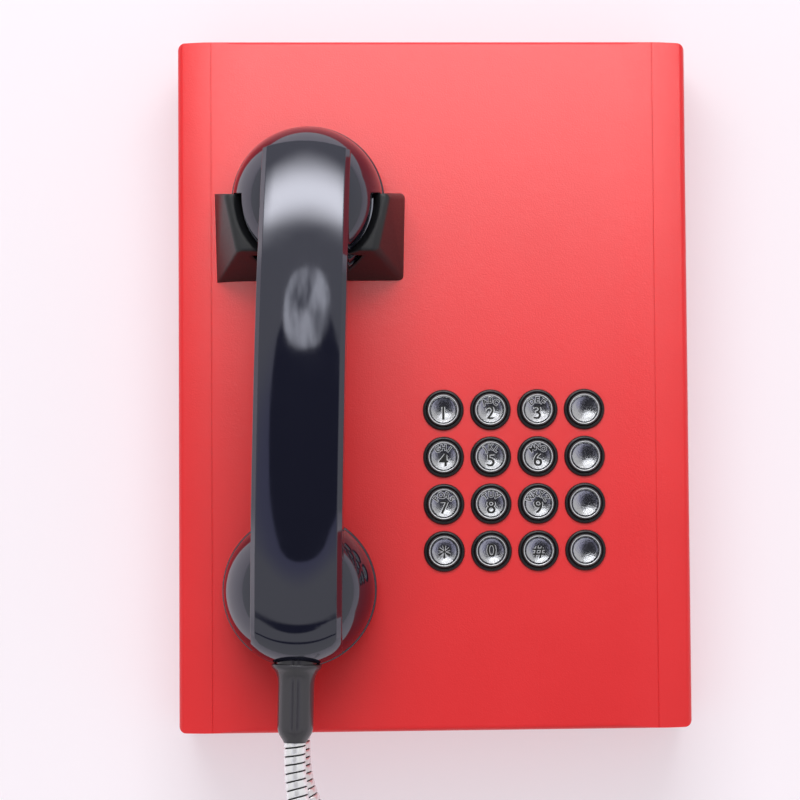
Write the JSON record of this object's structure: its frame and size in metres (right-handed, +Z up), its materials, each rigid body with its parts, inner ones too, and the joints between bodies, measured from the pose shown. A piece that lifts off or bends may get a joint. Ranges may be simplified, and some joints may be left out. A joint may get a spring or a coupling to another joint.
{
  "type": "slimline wall phone",
  "caption": "Slimline wall phone: red pressed-steel housing, black cradle with a corded handset on an armoured hose, and a square grid of round metal keys.",
  "frame": {"origin": "centre of the four wall holes, in the plane of the wall at the rear plate's back face", "axes": "+Z up, +X to the right seen from the front, +Y into the wall; the front looks along -Y"},
  "size_m": [0.218, 0.104, 0.5504],
  "materials": {
    "red_paint": "satin",
    "cradle_black": "satin",
    "collar_black": "satin",
    "handset_black": "gloss",
    "key_metal": "satin",
    "steel": "satin",
    "gland_metal": "satin",
    "hose_steel": "satin",
    "rubber": "matte",
    "boot_rubber": "satin",
    "board_green": "satin",
    "brass": "satin",
    "lever_black": "satin",
    "part_black": "matte",
    "terminal_blue": "satin",
    "connector_white": "satin",
    "lead": "satin",
    "capsule": "satin",
    "glass": "gloss",
    "magnet": "satin"
  },
  "bodies": {
    "housing": {"front_cover": "red_paint", "cradle": "cradle_black", "keypad_frame": "collar_black", "rear_plate": "steel", "cover_screws": "steel", "cover_nuts": "steel", "keypad_nuts": "steel", "board_screws": "steel", "cradle_screws": "steel", "hook_bracket": "steel", "hook_pin": "steel", "hook_spring": "steel", "gland_nut": "steel", "cord_gland": "gland_metal", "armoured_hose": "hose_steel", "line_grommet": "rubber", "dome_mat": "rubber", "keypad_board": "board_green", "main_board": "board_green", "hook_board": "board_green", "board_standoffs": "brass", "ringer": "part_black", "ribbon_header": "part_black", "terminal_block": "terminal_blue", "cord_connector": "connector_white", "keypad_ribbon": "lead", "hook_lead": "lead", "cord_tail": "lead", "reed_switch": "glass"},
    "handset": {"handset_handle": "handset_black", "ear_cap": "handset_black", "mouth_cap": "handset_black", "ear_grille": "steel", "mouth_grille": "steel", "receiver_gasket": "rubber", "receiver_capsule": "capsule", "microphone_holder": "rubber", "microphone_capsule": "capsule", "handset_lead": "lead", "cord_boot": "boot_rubber"},
    "hook_lever": {"hook_lever": "lever_black", "hook_magnet": "magnet"},
    "key_1": {"key_1": "key_metal"},
    "key_2": {"key_2": "key_metal"},
    "key_3": {"key_3": "key_metal"},
    "key_a": {"key_a": "key_metal"},
    "key_4": {"key_4": "key_metal"},
    "key_5": {"key_5": "key_metal"},
    "key_6": {"key_6": "key_metal"},
    "key_b": {"key_b": "key_metal"},
    "key_7": {"key_7": "key_metal"},
    "key_8": {"key_8": "key_metal"},
    "key_9": {"key_9": "key_metal"},
    "key_c": {"key_c": "key_metal"},
    "key_star": {"key_star": "key_metal"},
    "key_0": {"key_0": "key_metal"},
    "key_hash": {"key_hash": "key_metal"},
    "key_d": {"key_d": "key_metal"}
  },
  "joints": [
    {"name": "handset_lift", "type": "slide", "parent": "housing", "child": "handset", "axis": [0, 0, 1], "range_m": [0, 0.09]},
    {"name": "hook_swing", "type": "hinge", "parent": "housing", "child": "hook_lever", "pos_m": [-0.0523, -0.039, 0.068], "axis": [-1, 0, 0], "range_deg": [0, 12]},
    {"name": "key_1_press", "type": "slide", "parent": "housing", "child": "key_1", "axis": [0, 1, 0], "range_m": [0, 0.0012], "stiffness_N_per_m": 1500, "deforming": ["dome_mat"]},
    {"name": "key_2_press", "type": "slide", "parent": "housing", "child": "key_2", "axis": [0, 1, 0], "range_m": [0, 0.0012], "stiffness_N_per_m": 1500, "deforming": ["dome_mat"]},
    {"name": "key_3_press", "type": "slide", "parent": "housing", "child": "key_3", "axis": [0, 1, 0], "range_m": [0, 0.0012], "stiffness_N_per_m": 1500, "deforming": ["dome_mat"]},
    {"name": "key_a_press", "type": "slide", "parent": "housing", "child": "key_a", "axis": [0, 1, 0], "range_m": [0, 0.0012], "stiffness_N_per_m": 1500, "deforming": ["dome_mat"]},
    {"name": "key_4_press", "type": "slide", "parent": "housing", "child": "key_4", "axis": [0, 1, 0], "range_m": [0, 0.0012], "stiffness_N_per_m": 1500, "deforming": ["dome_mat"]},
    {"name": "key_5_press", "type": "slide", "parent": "housing", "child": "key_5", "axis": [0, 1, 0], "range_m": [0, 0.0012], "stiffness_N_per_m": 1500, "deforming": ["dome_mat"]},
    {"name": "key_6_press", "type": "slide", "parent": "housing", "child": "key_6", "axis": [0, 1, 0], "range_m": [0, 0.0012], "stiffness_N_per_m": 1500, "deforming": ["dome_mat"]},
    {"name": "key_b_press", "type": "slide", "parent": "housing", "child": "key_b", "axis": [0, 1, 0], "range_m": [0, 0.0012], "stiffness_N_per_m": 1500, "deforming": ["dome_mat"]},
    {"name": "key_7_press", "type": "slide", "parent": "housing", "child": "key_7", "axis": [0, 1, 0], "range_m": [0, 0.0012], "stiffness_N_per_m": 1500, "deforming": ["dome_mat"]},
    {"name": "key_8_press", "type": "slide", "parent": "housing", "child": "key_8", "axis": [0, 1, 0], "range_m": [0, 0.0012], "stiffness_N_per_m": 1500, "deforming": ["dome_mat"]},
    {"name": "key_9_press", "type": "slide", "parent": "housing", "child": "key_9", "axis": [0, 1, 0], "range_m": [0, 0.0012], "stiffness_N_per_m": 1500, "deforming": ["dome_mat"]},
    {"name": "key_c_press", "type": "slide", "parent": "housing", "child": "key_c", "axis": [0, 1, 0], "range_m": [0, 0.0012], "stiffness_N_per_m": 1500, "deforming": ["dome_mat"]},
    {"name": "key_star_press", "type": "slide", "parent": "housing", "child": "key_star", "axis": [0, 1, 0], "range_m": [0, 0.0012], "stiffness_N_per_m": 1500, "deforming": ["dome_mat"]},
    {"name": "key_0_press", "type": "slide", "parent": "housing", "child": "key_0", "axis": [0, 1, 0], "range_m": [0, 0.0012], "stiffness_N_per_m": 1500, "deforming": ["dome_mat"]},
    {"name": "key_hash_press", "type": "slide", "parent": "housing", "child": "key_hash", "axis": [0, 1, 0], "range_m": [0, 0.0012], "stiffness_N_per_m": 1500, "deforming": ["dome_mat"]},
    {"name": "key_d_press", "type": "slide", "parent": "housing", "child": "key_d", "axis": [0, 1, 0], "range_m": [0, 0.0012], "stiffness_N_per_m": 1500, "deforming": ["dome_mat"]}
  ],
  "couplings": [
    {"joint": "hook_swing", "follows": "handset_lift", "rad_per_m": 2.3}
  ]
}
